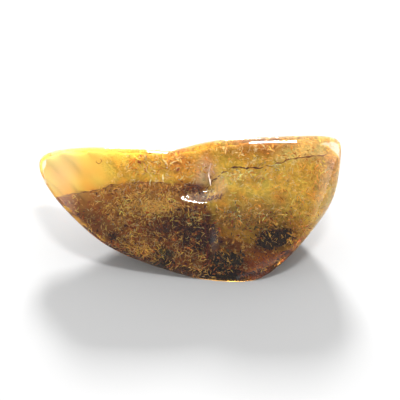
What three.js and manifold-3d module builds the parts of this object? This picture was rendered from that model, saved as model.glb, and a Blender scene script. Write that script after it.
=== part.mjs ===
// An amber stone: one polished, tumbled lump of fossil resin with three clumps of plant crumbs sealed in it.
// The resin is one natural piece. Here a thin slanting gap parts it, so that each clump has its pocket.
// Millimetres. +X runs along the stone, +Y to its back and +Z up. The origin is under the middle of the
// stone's box, on the surface that it rests on.
import * as THREE from 'three';
import { mergeVertices } from 'three/addons/utils/BufferGeometryUtils.js';
import Module from 'manifold-3d';

// The stone is a rounded meeting of flat facets. Each facet is [azimuth, elevation, distance]: the direction
// that it faces, in degrees, and how far it is from the heart, the point inside that all is measured from.
// Azimuth 0 faces +X, the blunt end, and -90 faces -Y, the front.
const FACETS = {
  upperLeft: [-94, 62, 4.1],
  upperRight: [-91, 75, 5.9],
  frontLeft: [-91, 37, 3.0],
  frontRight: [-85, 45, 4.3],
  rightEnd: [-44, 24, 14.4],
  back: [92, -12, 5.2],
  undercutLeft: [115, -40, 8.7],
  undercutRight: [65, -35, 10.0],
  underFrontLeft: [-133, -36, 13.3],
  underLeftTip: [-147, -30, 13.7],
  underFront: [-92, -46, 13.4],
  underFrontRight: [-36, -30, 15.2],
  underLeft: [180, -75.5, 6.5],
  underRight: [0, -68, 11.6],
  underBack: [90, -45, 9.2],
  underneath: [0, -90, 7.4],
  bluntEnd: [-2, -4, 22.6],
  slimTip: [170, 8, 24.7],
};
// Higher values make the edges between facets crisper.
const EDGE_POWER = 12;
// The flat spot that the stone rests on is worn off this far below the heart.
const REST_DROP = 6.5;

// Soft hollows and swells on the facets, measured from the heart. The surface at `at` moves by `depth`
// towards `push`, and the move fades over the three widths of `size`.
const HOLLOWS = [
  { name: 'long dip of the ridge', at: [-6.3, 4.8, 7.1], size: [7, 7, 7], depth: 0.6, push: [0, -0.6, -0.8] },
  { name: 'short dip of it', at: [-2.4, 4.9, 7.2], size: [3.4, 5, 6], depth: 0.8, push: [0, -0.6, -0.8] },
  { name: 'top of the groove', at: [2.3, 3.3, 6.6], size: [2.2, 3, 3], depth: 0.7, push: [-0.1, 0.2, -1] },
  { name: 'foot of the groove', at: [2.7, 0.4, 5], size: [2.2, 2, 2], depth: 1.3, push: [-0.2, 0.5, -1] },
  { name: 'thumb print', at: [0.5, -0.5, 4.3], size: [3.2, 1.6, 1.6], depth: 0.8, push: [0, 0.7, -0.7] },
  { name: 'ledge', at: [0.2, -1.8, 2.6], size: [3.4, 1.5, 1.5], depth: 0.4, push: [0, -0.7, 0.7] },
  { name: 'seam of the lobes', at: [2, -4.9, -1.5], size: [1.6, 4, 5], depth: 0.5, push: [0, 0.7, -0.7] },
  { name: 'belly of the lobe', at: [8.5, -4.8, -1.2], size: [6.5, 5, 5], depth: 0.9, push: [0, -0.75, 0.66] },
  { name: 'right shoulder', at: [12.2, 1.3, 5.8], size: [7.5, 2.6, 2.6], depth: 0.5, push: [0, 0.7, -0.7] },
  { name: 'hollow of the back', at: [-9, 6, 0.5], size: [7, 3, 4], depth: 0.4, push: [0, -1, 0] },
  { name: 'droop of the tip', at: [-22.5, 3.5, 4.5], size: [4.5, 8, 8], depth: 3, push: [0, 0.62, -0.79] },
  { name: 'droop of the end', at: [22, 5, 8], size: [4.5, 6, 6], depth: 1.5, push: [0, 0.62, -0.79] },
];

// Points of the surface are spread as they would be on an egg of these half lengths.
const EGG = [22, 8, 9];
const STONE_STEPS = 60;
const STONE_SIDES = 56;

// The front face leans back from upright by this many degrees, and so do the clumps and the plane of the gap.
const FRONT_LEAN = 38;

// The resin is parted in front of the heart, this far from it, by a gap of this width.
const PARTING_DISTANCE = 1.6;
const PARTING_GAP = 0.3;

// The clumps of plant crumbs, measured from the heart: half lengths along the front face, into it and up
// it, a tilt in the plane of the face in degrees, and a phase that makes each one's lumps its own.
const CLUMPS = {
  crumbs_centre: { at: [1.2, -3.4, -2.3], size: [2.5, 1.1, 1.8], tilt: 20, phase: 0.4 },
  crumbs_low: { at: [5.3, -6.0, -4.5], size: [2.2, 0.6, 1.0], tilt: -8, phase: 2.1 },
  crumbs_right: { at: [12.0, -4.0, -2.0], size: [2.4, 0.9, 1.3], tilt: 14, phase: 3.7 },
};
const CLUMP_LUMPINESS = 0.12;
const CLUMP_STEPS = 12;
const CLUMP_SIDES = 12;
const POCKET_CLEARANCE = 0.35;

const RESIN = new THREE.MeshStandardMaterial({ name: 'amber', color: 0xd9982f, roughness: 0.08 });
const CRUMBS = new THREE.MeshStandardMaterial({ name: 'plant crumbs', color: 0x35241c, roughness: 0.8 });

const wasm = await Module();
wasm.setup();

/** The unit vector at an azimuth and an elevation in degrees. */
function facing(azimuth, elevation) {
  const a = THREE.MathUtils.degToRad(azimuth);
  const e = THREE.MathUtils.degToRad(elevation);
  return new THREE.Vector3(Math.cos(a) * Math.cos(e), Math.sin(a) * Math.cos(e), Math.sin(e));
}

/** The direction from the middle of an egg to its surface, u from the -X pole to the +X pole, v around X. */
function eggDirection(u, v, size) {
  const x = -Math.cos(u) * size[0];
  const y = Math.sin(u) * Math.cos(v) * size[1];
  const z = Math.sin(u) * Math.sin(v) * size[2];
  return new THREE.Vector3(x, y, z);
}

const facetPlanes = Object.values(FACETS).map(([azimuth, elevation, distance]) => (
  facing(azimuth, elevation).divideScalar(distance)
));

const hollows = HOLLOWS.map(({ at, size, depth, push }) => ({
  at: new THREE.Vector3(...at),
  size: new THREE.Vector3(...size),
  move: new THREE.Vector3(...push).normalize().multiplyScalar(depth),
}));

/** The stone's surface before its flat spot: the facets' rounded meeting, then the hollows in turn. */
function stonePoint(u, v) {
  const direction = eggDirection(u, v, EGG).normalize();
  let total = 0;
  for (const plane of facetPlanes) {
    total += Math.max(direction.dot(plane), 0) ** EDGE_POWER;
  }
  const point = direction.multiplyScalar(total ** (-1 / EDGE_POWER));
  for (const hollow of hollows) {
    const away = point.clone().sub(hollow.at).divide(hollow.size);
    point.addScaledVector(hollow.move, Math.exp(-away.lengthSq()));
  }
  return point;
}

/** A lumpy egg about a clump's middle, grown on all sides by `extra`. */
function clumpPoint(u, v, clump, extra) {
  const grown = clump.size.map((half) => half + extra);
  const lumps = Math.sin(3 * v + 2 * u + clump.phase) + Math.cos(5 * u - 2 * v + 2 * clump.phase);
  const point = eggDirection(u, v, grown);
  point.multiplyScalar(1 + CLUMP_LUMPINESS * Math.sin(u) * lumps / 2);
  point.applyAxisAngle(new THREE.Vector3(0, 1, 0), THREE.MathUtils.degToRad(-clump.tilt));
  point.applyAxisAngle(new THREE.Vector3(1, 0, 0), THREE.MathUtils.degToRad(-FRONT_LEAN));
  return point.add(new THREE.Vector3(...clump.at));
}

/** A closed solid from a surface of u and v: a point at each pole, with rings of `sides` points between. */
function solidOfSurface(pointAt, steps, sides) {
  const points = [pointAt(0, 0)];
  for (let i = 1; i < steps; i += 1) {
    for (let j = 0; j < sides; j += 1) {
      points.push(pointAt(Math.PI * i / steps, 2 * Math.PI * j / sides));
    }
  }
  const last = points.push(pointAt(Math.PI, 0)) - 1;
  const ring = (i, j) => 1 + (i - 1) * sides + (j % sides);
  const triangles = [];
  for (let j = 0; j < sides; j += 1) {
    triangles.push(0, ring(1, j + 1), ring(1, j));
    triangles.push(last, ring(steps - 1, j), ring(steps - 1, j + 1));
    for (let i = 1; i < steps - 1; i += 1) {
      triangles.push(ring(i, j), ring(i, j + 1), ring(i + 1, j + 1));
      triangles.push(ring(i, j), ring(i + 1, j + 1), ring(i + 1, j));
    }
  }
  const vertProperties = new Float32Array(points.flatMap((point) => point.toArray()));
  const triVerts = new Uint32Array(triangles);
  return new wasm.Manifold(new wasm.Mesh({ numProp: 3, vertProperties, triVerts }));
}

/** A box between two corners, leant back about the X axis by an angle in degrees, as a solid. */
function boxSolid(low, high, lean) {
  const size = high.clone().sub(low);
  const geometry = new THREE.BoxGeometry(size.x, size.y, size.z);
  geometry.translate(...low.clone().add(high).multiplyScalar(0.5).toArray());
  geometry.rotateX(THREE.MathUtils.degToRad(-lean));
  geometry.deleteAttribute('normal');
  geometry.deleteAttribute('uv');
  const merged = mergeVertices(geometry);
  return new wasm.Manifold(new wasm.Mesh({
    numProp: 3,
    vertProperties: new Float32Array(merged.attributes.position.array),
    triVerts: new Uint32Array(merged.index.array),
  }));
}

/** A named mesh from a solid, moved so that the stone's frame is its own. */
function meshOf(name, solid, material, move) {
  const { vertProperties, triVerts } = solid.getMesh();
  const geometry = new THREE.BufferGeometry();
  geometry.setAttribute('position', new THREE.BufferAttribute(new Float32Array(vertProperties), 3));
  geometry.setIndex(new THREE.BufferAttribute(new Uint32Array(triVerts), 1));
  geometry.translate(move.x, move.y, move.z);
  geometry.computeVertexNormals();
  const mesh = new THREE.Mesh(geometry, material);
  mesh.name = name;
  return mesh;
}

// The whole lump, with its flat spot worn off.
const REACH = 40;
const rough = solidOfSurface(stonePoint, STONE_STEPS, STONE_SIDES);
const belowRest = boxSolid(
  new THREE.Vector3(-REACH, -REACH, -REACH),
  new THREE.Vector3(REACH, REACH, -REST_DROP),
  0,
);
let resin = rough.subtract(belowRest);

const box = resin.boundingBox();
const toFrame = new THREE.Vector3(
  -(box.min[0] + box.max[0]) / 2,
  -(box.min[1] + box.max[1]) / 2,
  REST_DROP,
);

const object = new THREE.Group();

// The clumps, and their pockets in the resin.
for (const [name, clump] of Object.entries(CLUMPS)) {
  const grown = (extra) => (
    solidOfSurface((u, v) => clumpPoint(u, v, clump, extra), CLUMP_STEPS, CLUMP_SIDES)
  );
  resin = resin.subtract(grown(POCKET_CLEARANCE));
  object.add(meshOf(name, grown(0), CRUMBS, toFrame));
}

// The two sides of the gap.
const frontOfGap = boxSolid(
  new THREE.Vector3(-REACH, -REACH, -REACH),
  new THREE.Vector3(REACH, -PARTING_DISTANCE - PARTING_GAP / 2, REACH),
  FRONT_LEAN,
);
const backOfGap = boxSolid(
  new THREE.Vector3(-REACH, -PARTING_DISTANCE + PARTING_GAP / 2, -REACH),
  new THREE.Vector3(REACH, REACH, REACH),
  FRONT_LEAN,
);
object.add(meshOf('amber_front_half', resin.intersect(frontOfGap), RESIN, toFrame));
object.add(meshOf('amber_back_half', resin.intersect(backOfGap), RESIN, toFrame));

export default object;
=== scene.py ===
"""An amber stone with plant crumbs, dust, flakes and bubbles inside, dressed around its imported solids.

Lengths in the classes are in millimetres and are measured from the heart, the point inside the stone that its
facets are measured from. They become metres in the stone's own frame when a mesh is made.
"""
from __future__ import annotations

import logging
import math
from dataclasses import dataclass, field
from enum import Enum

import bpy
import numpy as np
from mathutils import Matrix, Vector

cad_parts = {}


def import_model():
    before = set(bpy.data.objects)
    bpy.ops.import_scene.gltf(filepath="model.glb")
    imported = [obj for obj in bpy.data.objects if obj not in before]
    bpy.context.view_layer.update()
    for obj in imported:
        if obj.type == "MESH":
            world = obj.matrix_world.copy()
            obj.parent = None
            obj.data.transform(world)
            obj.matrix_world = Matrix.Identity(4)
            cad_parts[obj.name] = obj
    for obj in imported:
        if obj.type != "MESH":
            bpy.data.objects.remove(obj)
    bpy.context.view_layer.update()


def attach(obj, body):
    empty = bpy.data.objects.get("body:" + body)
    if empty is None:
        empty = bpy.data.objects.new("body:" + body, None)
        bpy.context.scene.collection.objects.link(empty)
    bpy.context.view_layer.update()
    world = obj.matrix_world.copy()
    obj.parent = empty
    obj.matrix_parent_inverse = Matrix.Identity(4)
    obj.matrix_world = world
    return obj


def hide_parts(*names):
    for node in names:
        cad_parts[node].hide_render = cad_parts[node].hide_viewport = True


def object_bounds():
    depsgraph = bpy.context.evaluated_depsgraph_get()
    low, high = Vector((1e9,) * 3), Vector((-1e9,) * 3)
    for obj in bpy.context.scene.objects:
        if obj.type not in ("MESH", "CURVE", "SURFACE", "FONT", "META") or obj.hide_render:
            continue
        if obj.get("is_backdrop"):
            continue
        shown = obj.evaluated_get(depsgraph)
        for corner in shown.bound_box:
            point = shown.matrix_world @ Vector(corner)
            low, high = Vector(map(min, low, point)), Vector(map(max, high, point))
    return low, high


# A millimetre in metres.
MM = 0.001
# Rows of points, and points in a row, that find the box of the stone's surface.
BOX_GRID = 200
# Most values of a noise texture lie between these.
NOISE_LOW, NOISE_HIGH = 0.3, 0.7
# The four sines of the swirls hardly ever add up to more.
SWIRL_REACH = 2.5
# How far the pixels of a soft patch spread, as a share of its half sizes.
SOFT_SPREAD = 0.5

LOG = logging.getLogger("amber_stone")

# A mesh's points, its triangles, and a colour for each point.
Mesh = tuple[np.ndarray, np.ndarray, np.ndarray]


def facing(azimuth: float, elevation: float) -> np.ndarray:
    """The unit vector at an azimuth from +X and an elevation from level.

    Args:
        azimuth: degrees, 90 is +Y, the stone's back.
        elevation: degrees.

    Returns:
        Three numbers.
    """
    a, e = math.radians(azimuth), math.radians(elevation)
    return np.array([math.cos(a) * math.cos(e), math.sin(a) * math.cos(e), math.sin(e)])


@dataclass(frozen=True)
class Hollow:
    """A soft hollow or swell: the surface at `at` moves by `depth` towards `push`, fading over `size`."""

    at: tuple[float, float, float]
    size: tuple[float, float, float]
    depth: float
    push: tuple[float, float, float]

    def move(self, points: np.ndarray) -> np.ndarray:
        """How far each point moves: the push times the depth times a bell of the distance over the size.

        Args:
            points: places from the heart, in any shape with 3 last.

        Returns:
            A step for each point, in the same shape.
        """
        away = (points - np.array(self.at)) / np.array(self.size)
        push = np.array(self.push) / np.linalg.norm(self.push)
        return push * self.depth * np.exp(-(away**2).sum(-1))[..., None]


@dataclass
class StoneShape:
    """The stone's form: a rounded meeting of flat facets, with hollows, ground flat where it rests."""

    facets: dict[str, tuple[float, float, float]] = field(
        default_factory=lambda: {
            "upper left": (-94, 62, 4.1),
            "upper right": (-91, 75, 5.9),
            "front left": (-91, 37, 3.0),
            "front right": (-85, 45, 4.3),
            "right end": (-44, 24, 14.4),
            "back": (92, -12, 5.2),
            "undercut left": (115, -40, 8.7),
            "undercut right": (65, -35, 10.0),
            "under front left": (-133, -36, 13.3),
            "under left tip": (-147, -30, 13.7),
            "under front": (-92, -46, 13.4),
            "under front right": (-36, -30, 15.2),
            "under left": (180, -75.5, 6.5),
            "under right": (0, -68, 11.6),
            "under back": (90, -45, 9.2),
            "underneath": (0, -90, 7.4),
            "blunt end": (-2, -4, 22.6),
            "slim tip": (170, 8, 24.7),
        }
    )
    hollows: dict[str, Hollow] = field(
        default_factory=lambda: {
            "long dip of the ridge": Hollow((-6.3, 4.8, 7.1), (7, 7, 7), 0.6, (0, -0.6, -0.8)),
            "short dip of the ridge": Hollow((-2.4, 4.9, 7.2), (3.4, 5, 6), 0.8, (0, -0.6, -0.8)),
            "top of the groove": Hollow((2.3, 3.3, 6.6), (2.2, 3, 3), 0.7, (-0.1, 0.2, -1)),
            "foot of the groove": Hollow((2.7, 0.4, 5.0), (2.2, 2, 2), 1.3, (-0.2, 0.5, -1)),
            "thumb print": Hollow((0.5, -0.5, 4.3), (3.2, 1.6, 1.6), 0.8, (0, 0.7, -0.7)),
            "ledge": Hollow((0.2, -1.8, 2.6), (3.4, 1.5, 1.5), 0.4, (0, -0.7, 0.7)),
            "seam of the lobes": Hollow((2.0, -4.9, -1.5), (1.6, 4, 5), 0.5, (0, 0.7, -0.7)),
            "belly of the right lobe": Hollow((8.5, -4.8, -1.2), (6.5, 5, 5), 0.9, (0, -0.75, 0.66)),
            "right shoulder": Hollow((12.2, 1.3, 5.8), (7.5, 2.6, 2.6), 0.5, (0, 0.7, -0.7)),
            "hollow of the back": Hollow((-9.0, 6.0, 0.5), (7, 3, 4), 0.4, (0, -1, 0)),
            "droop of the tip": Hollow((-22.5, 3.5, 4.5), (4.5, 8, 8), 3.0, (0, 0.62, -0.79)),
            "droop of the blunt end": Hollow((22.0, 5.0, 8.0), (4.5, 6, 6), 1.5, (0, 0.62, -0.79)),
        }
    )
    edge_power: float = 12.0
    rest_drop: float = 6.5
    egg: tuple[float, float, float] = (22.0, 8.0, 9.0)
    rounds_back: int = 2
    slope_step: float = 0.02
    well_inside: float = 0.99

    def crowding(self, points: np.ndarray) -> np.ndarray:
        """How near points are to all the facets' planes together.

        Each plane gives the share of the way to it, 0 at the heart and 1 on the plane. The shares are raised
        to a high power and summed, which rounds the edges between the facets.

        Args:
            points: places or directions from the heart, in any shape with 3 last.

        Returns:
            One sum for each point.
        """
        total = np.zeros(points.shape[:-1])
        for azimuth, elevation, distance in self.facets.values():
            share = points @ (facing(azimuth, elevation) / distance)
            total += np.maximum(share, 0) ** self.edge_power
        return total

    def radius(self, directions: np.ndarray) -> np.ndarray:
        """The distance from the heart to the facets' rounded meeting: one over the crowding's root."""
        return self.crowding(directions) ** (-1 / self.edge_power)

    def skin(self, steps: int, sides: int) -> np.ndarray:
        """The stone's surface on a grid: u from the slim tip to the blunt end, v around the stone.

        A point is the direction of an egg's point at u and v, times the radius in that direction, moved by
        the hollows in turn and lifted to the flat spot where it is below it.

        Args:
            steps: rows from pole to pole.
            sides: points around.

        Returns:
            An array of steps by sides by 3.
        """
        u = np.linspace(0, np.pi, steps)[:, None]
        v = np.linspace(0, 2 * np.pi, sides, endpoint=False)[None, :]
        egg = np.array(self.egg)
        around = [-np.cos(u) + 0 * v, np.sin(u) * np.cos(v), np.sin(u) * np.sin(v)]
        directions = np.stack(around, -1) * egg
        directions /= np.linalg.norm(directions, axis=-1, keepdims=True)
        points = directions * self.radius(directions)[..., None]
        for hollow in self.hollows.values():
            points = points + hollow.move(points)
        points[..., 2] = np.maximum(points[..., 2], -self.rest_drop)
        return points

    def unpressed(self, points: np.ndarray) -> np.ndarray:
        """Where points were before the hollows moved them, found by taking the moves back a few times over.

        Args:
            points: places from the heart, in any shape with 3 last.

        Returns:
            The places before, in the same shape.
        """
        before = points
        for _ in range(self.rounds_back):
            after = before
            for hollow in self.hollows.values():
                after = after + hollow.move(after)
            before = before + (points - after)
        return before

    def level(self, points: np.ndarray) -> np.ndarray:
        """How far out points are: the root of the crowding, or the share of the way down to the flat spot.

        Args:
            points: places from the heart, in any shape with 3 last.

        Returns:
            For each point 0 at the heart, 1 on the surface, and more outside.
        """
        out = self.crowding(self.unpressed(points)) ** (1 / self.edge_power)
        return np.maximum(out, -points[..., 2] / self.rest_drop)

    def normal(self, points: np.ndarray) -> np.ndarray:
        """The outward normal at points on the surface: the way in which the level grows fastest.

        Args:
            points: places from the heart, in any shape with 3 last.

        Returns:
            Unit vectors, in the same shape.
        """
        steps = self.slope_step * np.eye(3)
        slope = np.stack([self.level(points + step) - self.level(points - step) for step in steps], -1)
        return slope / np.linalg.norm(slope, axis=-1, keepdims=True)

    def holds(self, points: np.ndarray, margin: float) -> np.ndarray:
        """Finds the points that have resin over them on all sides.

        Args:
            points: places from the heart, in any shape with 3 last.
            margin: the least resin over each, in millimetres.

        Returns:
            True for each point that has it.
        """
        before = self.unpressed(points)
        room = self.rest_drop + points[..., 2]
        for azimuth, elevation, distance in self.facets.values():
            room = np.minimum(room, distance - before @ facing(azimuth, elevation))
        return (room > margin) & (self.level(points) < self.well_inside)


def closed_grid_faces(steps: int, sides: int) -> np.ndarray:
    """Faces of a closed grid: a pole, rings of `sides` points, and a pole, facing outwards.

    Args:
        steps: rows from pole to pole, both poles counted.
        sides: points in each ring.

    Returns:
        Triangles as an array of three indices each.
    """
    rings = steps - 2
    i = np.arange(rings - 1)[:, None]
    j = np.arange(sides)[None, :]
    k = (j + 1) % sides
    a, b = 1 + i * sides + j, 1 + i * sides + k
    c, d = b + sides, a + sides
    body = np.stack([np.stack([a, b, c], -1), np.stack([a, c, d], -1)], -2).reshape(-1, 3)
    j, k = j.ravel(), k.ravel()
    last = 1 + rings * sides
    first_cap = np.stack([np.zeros_like(j), 1 + k, 1 + j], -1)
    end = 1 + (rings - 1) * sides
    last_cap = np.stack([np.full_like(j, last), end + j, end + k], -1)
    return np.concatenate([first_cap, body, last_cap])


def closed_grid_points(grid: np.ndarray) -> np.ndarray:
    """The points of a closed grid in the order that its faces use: each pole once, and the rings between."""
    return np.concatenate([grid[0, :1], grid[1:-1].reshape(-1, grid.shape[-1]), grid[-1, :1]])


def egg_points(size: tuple[float, float, float], steps: int, sides: int) -> np.ndarray:
    """The points of a closed egg: u from the -X pole to the +X pole, v around X.

    Args:
        size: half lengths along X, Y and Z.
        steps: rows from pole to pole.
        sides: points around.

    Returns:
        Points in the order that closed_grid_faces uses.
    """
    u = np.linspace(0, np.pi, steps)[:, None]
    v = np.linspace(0, 2 * np.pi, sides, endpoint=False)[None, :]
    grid = np.stack([-np.cos(u) + 0 * v, np.sin(u) * np.cos(v), np.sin(u) * np.sin(v)], -1)
    return closed_grid_points(grid * np.array(size))


def mesh_object(name: str, points: np.ndarray, faces: np.ndarray, smooth: bool = True) -> bpy.types.Object:
    """An object at the origin with these triangles.

    Args:
        name: the piece's name.
        points: metres, in the stone's own frame.
        faces: three indices a row.
        smooth: shade the faces smooth.

    Returns:
        The object, linked to the scene.
    """
    mesh = bpy.data.meshes.new(name)
    mesh.vertices.add(len(points))
    mesh.vertices.foreach_set("co", points.astype(np.float32).ravel())
    mesh.loops.add(faces.size)
    mesh.loops.foreach_set("vertex_index", faces.astype(np.int32).ravel())
    mesh.polygons.add(len(faces))
    mesh.polygons.foreach_set("loop_start", np.arange(0, faces.size, 3, dtype=np.int32))
    mesh.polygons.foreach_set("use_smooth", np.full(len(faces), smooth))
    mesh.update(calc_edges=True)
    obj = bpy.data.objects.new(name, mesh)
    bpy.context.scene.collection.objects.link(obj)
    return obj


def point_colours(obj: bpy.types.Object, name: str, colours: np.ndarray) -> None:
    """Gives a mesh a colour for each vertex.

    Args:
        obj: the mesh's object.
        name: the attribute's name.
        colours: linear red, green and blue, a row for each vertex.
    """
    layer = obj.data.color_attributes.new(name, "FLOAT_COLOR", "POINT")
    full = np.concatenate([colours, np.ones((len(colours), 1))], 1)
    layer.data.foreach_set("color", full.astype(np.float32).ravel())


def point_values(obj: bpy.types.Object, name: str, values: np.ndarray) -> None:
    """Gives a mesh a number for each vertex."""
    layer = obj.data.attributes.new(name, "FLOAT", "POINT")
    layer.data.foreach_set("value", values.astype(np.float32).ravel())


def joined(parts: list[Mesh]) -> Mesh:
    """Several meshes as one, with each mesh's triangles counted on from the points before it.

    Args:
        parts: for each mesh its points, its triangles and a colour for each point.

    Returns:
        All the points, all the triangles and all the colours.
    """
    points, faces, tints = zip(*parts)
    shifts = np.cumsum([0, *(len(each) for each in points[:-1])])
    faces = [each + shift for each, shift in zip(faces, shifts)]
    return np.concatenate(points), np.concatenate(faces), np.concatenate(tints)


def linear(red: float, green: float, blue: float) -> tuple[float, float, float]:
    """A colour as linear light, by the curve of the sRGB standard.

    Args:
        red: 0 to 255, as a screen shows it.
        green: the same.
        blue: the same.

    Returns:
        Three numbers from 0 to 1.
    """
    shown = np.array([red, green, blue]) / 255
    light = np.where(shown <= 0.04045, shown / 12.92, ((shown + 0.055) / 1.055) ** 2.4)
    return tuple(float(x) for x in light)


def turned_by(degrees: float) -> np.ndarray:
    """The matrix that turns rows of pairs by an angle."""
    t = math.radians(degrees)
    return np.array([[math.cos(t), math.sin(t)], [-math.sin(t), math.cos(t)]])


def swirls(points: np.ndarray, per_mm: float, phase: float) -> np.ndarray:
    """A smooth unevenness of space: four sines, each along its own slanting direction, summed and divided.

    Args:
        points: rows of three, in millimetres.
        per_mm: waves to a millimetre.
        phase: shifts the waves, so that one use of them differs from another.

    Returns:
        For each point a value from about -1 to 1.
    """
    x, y, z = (points * per_mm * 2 * np.pi).T
    waves = np.sin(x + 0.4 * z + phase) + np.sin(0.9 * z - 0.6 * x + 2 * phase)
    waves += np.sin(1.7 * x + 1.1 * y - 0.8 * z + 3 * phase) + np.sin(1.9 * z + 0.7 * y + 0.9 * x + 5 * phase)
    return waves / SWIRL_REACH


@dataclass(frozen=True)
class Swirl:
    """One use of the swirls: how strong they are, their waves to a millimetre, and their phase."""

    strength: float
    per_mm: float
    phase: float

    def over(self, points: np.ndarray) -> np.ndarray:
        """The swirls at points, times the strength."""
        return self.strength * swirls(points, self.per_mm, self.phase)


@dataclass
class Placing:
    """Where the heart lies in the stone's own frame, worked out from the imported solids' box."""

    heart: np.ndarray

    @classmethod
    def from_frame(cls, shape: StoneShape) -> Placing:
        """Lays the middle of the surface's box on the middle of the solids' box, on what the stone rests on.

        Args:
            shape: the stone's form.

        Returns:
            The placing.
        """
        grid = shape.skin(BOX_GRID, BOX_GRID).reshape(-1, 3)
        low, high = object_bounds()
        heart = (np.array(low) + np.array(high)) / 2 / MM - (grid.min(0) + grid.max(0)) / 2
        heart[2] = low.z / MM + shape.rest_drop
        return cls(heart)

    def metres(self, points: np.ndarray) -> np.ndarray:
        """Points measured from the heart in millimetres, as metres in the stone's own frame."""
        return (points + self.heart) * MM


class Face(Enum):
    """The face of the stone that a thing inside is seen through, by how steep the face's normal is."""

    FRONT = (-1.0, 0.85)
    UPPER = (0.8, 1.0)
    ANY = (-1.0, 1.0)


@dataclass
class Sight:
    """The camera's line of sight, so that a thing inside can be put where the photograph shows it.

    Pixels are those of the photograph, 400 across and 400 down. Where the lines of sight meet the stone is
    worked out once for a grid of pixels, and read off between them.
    """

    shape: StoneShape
    elevation: float = 52.0
    distance: float = 164.0
    lens: float = 100.0
    sensor: float = 36.0
    picture: float = 400.0
    aim_right: float = 1.1
    aim_up: float = 1.06
    ior: float = 1.54
    first_pixel: tuple[float, float] = (32.0, 130.0)
    last_pixel: tuple[float, float] = (348.0, 288.0)
    pitch: float = 1.5
    walk_reach: float = 14.0
    walk_steps: int = 36
    halvings: int = 9
    sure_hit: float = 0.99
    grazing: float = 0.1

    def __post_init__(self) -> None:
        """Works out the grid of entries: each pixel's depth along its line, the normal there, and a hit."""
        across = np.arange(self.first_pixel[0], self.last_pixel[0], self.pitch)
        down = np.arange(self.first_pixel[1], self.last_pixel[1], self.pitch)
        entries = self.walked(np.stack(np.meshgrid(across, down), -1).reshape(-1, 2))
        self.table = entries.reshape(len(down), len(across), -1)

    def axes(self) -> tuple[np.ndarray, np.ndarray, np.ndarray]:
        """The camera's own axes in the stone's frame.

        Returns:
            The picture's right, its up, and the way the camera looks, as unit vectors.
        """
        e = math.radians(self.elevation)
        up = np.array([0, math.sin(e), math.cos(e)])
        forward = np.array([0, math.cos(e), -math.sin(e)])
        return np.array([1.0, 0, 0]), up, forward

    def station(self) -> np.ndarray:
        """Where the camera stands, from the heart."""
        right, up, forward = self.axes()
        return right * self.aim_right + up * self.aim_up - forward * self.distance

    def rays(self, pixels: np.ndarray) -> np.ndarray:
        """The directions from the camera through pixels.

        Args:
            pixels: rows of pairs.

        Returns:
            Unit vectors in rows.
        """
        right, up, forward = self.axes()
        across = (pixels[..., :1] / self.picture - 0.5) * self.sensor
        down = (pixels[..., 1:] / self.picture - 0.5) * self.sensor
        way = forward * self.lens + right * across - up * down
        return way / np.linalg.norm(way, axis=-1, keepdims=True)

    def pixels(self, points: np.ndarray) -> np.ndarray:
        """Where points show in the picture, if nothing bends the light on its way.

        Args:
            points: rows of three, from the heart.

        Returns:
            Rows of pairs.
        """
        right, up, forward = self.axes()
        away = points - self.station()
        flat = np.stack([away @ right, -(away @ up)], -1) / (away @ forward)[:, None]
        return (flat * self.lens / self.sensor + 0.5) * self.picture

    def walked(self, pixels: np.ndarray) -> np.ndarray:
        """Where the lines through pixels enter the stone.

        Each line is walked in even steps until it is inside, and the step is then halved to the surface.

        Args:
            pixels: rows of pairs.

        Returns:
            For each pixel the depth of entry along the line, the normal there, and 1 where there is one.
        """
        start, way = self.station(), self.rays(pixels)
        steps = np.linspace(self.distance - self.walk_reach, self.distance + self.walk_reach, self.walk_steps)
        far = np.full(len(pixels), np.nan)
        for t in steps:
            inside = self.shape.level(start + way * t) < 1
            far = np.where(np.isnan(far) & inside, t, far)
        hit = ~np.isnan(far)
        far = np.where(hit, far, self.distance)
        near = far - (steps[1] - steps[0])
        for _ in range(self.halvings):
            middle = (near + far) / 2
            inside = self.shape.level(start + way * middle[:, None]) < 1
            far = np.where(inside, middle, far)
            near = np.where(inside, near, middle)
        normals = self.shape.normal(start + way * far[:, None])
        return np.concatenate([far[:, None], normals, hit[:, None]], 1)

    def bent(self, way: np.ndarray, normals: np.ndarray) -> np.ndarray:
        """The directions of lines once they are in the resin, by the law of refraction.

        Args:
            way: unit vectors in rows, outside.
            normals: the surface's outward normals where the lines enter.

        Returns:
            Unit vectors in rows, inside.
        """
        ratio = 1 / self.ior
        facing_it = -(way * normals).sum(-1, keepdims=True)
        kept = np.sqrt(np.maximum(1 - ratio**2 * (1 - facing_it**2), 0))
        return way * ratio + normals * (ratio * facing_it - kept)

    def entries(self, pixels: np.ndarray) -> tuple[np.ndarray, np.ndarray, np.ndarray]:
        """Where the lines through pixels enter the stone, read between the four nearest pixels of the grid.

        Args:
            pixels: rows of pairs.

        Returns:
            The points of entry, the outward normals there, and True where the line meets the stone.
        """
        place = (pixels - np.array(self.first_pixel)) / self.pitch
        rows, columns, wide = self.table.shape
        inside = (place >= 0).all(1) & (place[:, 0] < columns - 1) & (place[:, 1] < rows - 1)
        place = np.where(inside[:, None], place, 0)
        corner = place.astype(int)
        share = place - corner
        found = np.zeros((len(pixels), wide))
        for right, down in ((0, 0), (1, 0), (0, 1), (1, 1)):
            weight = np.abs(1 - right - share[:, 0]) * np.abs(1 - down - share[:, 1])
            found += weight[:, None] * self.table[corner[:, 1] + down, corner[:, 0] + right]
        normals = found[:, 1:4] / np.linalg.norm(found[:, 1:4], axis=1, keepdims=True)
        points = self.station() + self.rays(pixels) * found[:, :1]
        return points, normals, inside & (found[:, 4] > self.sure_hit)

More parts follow.
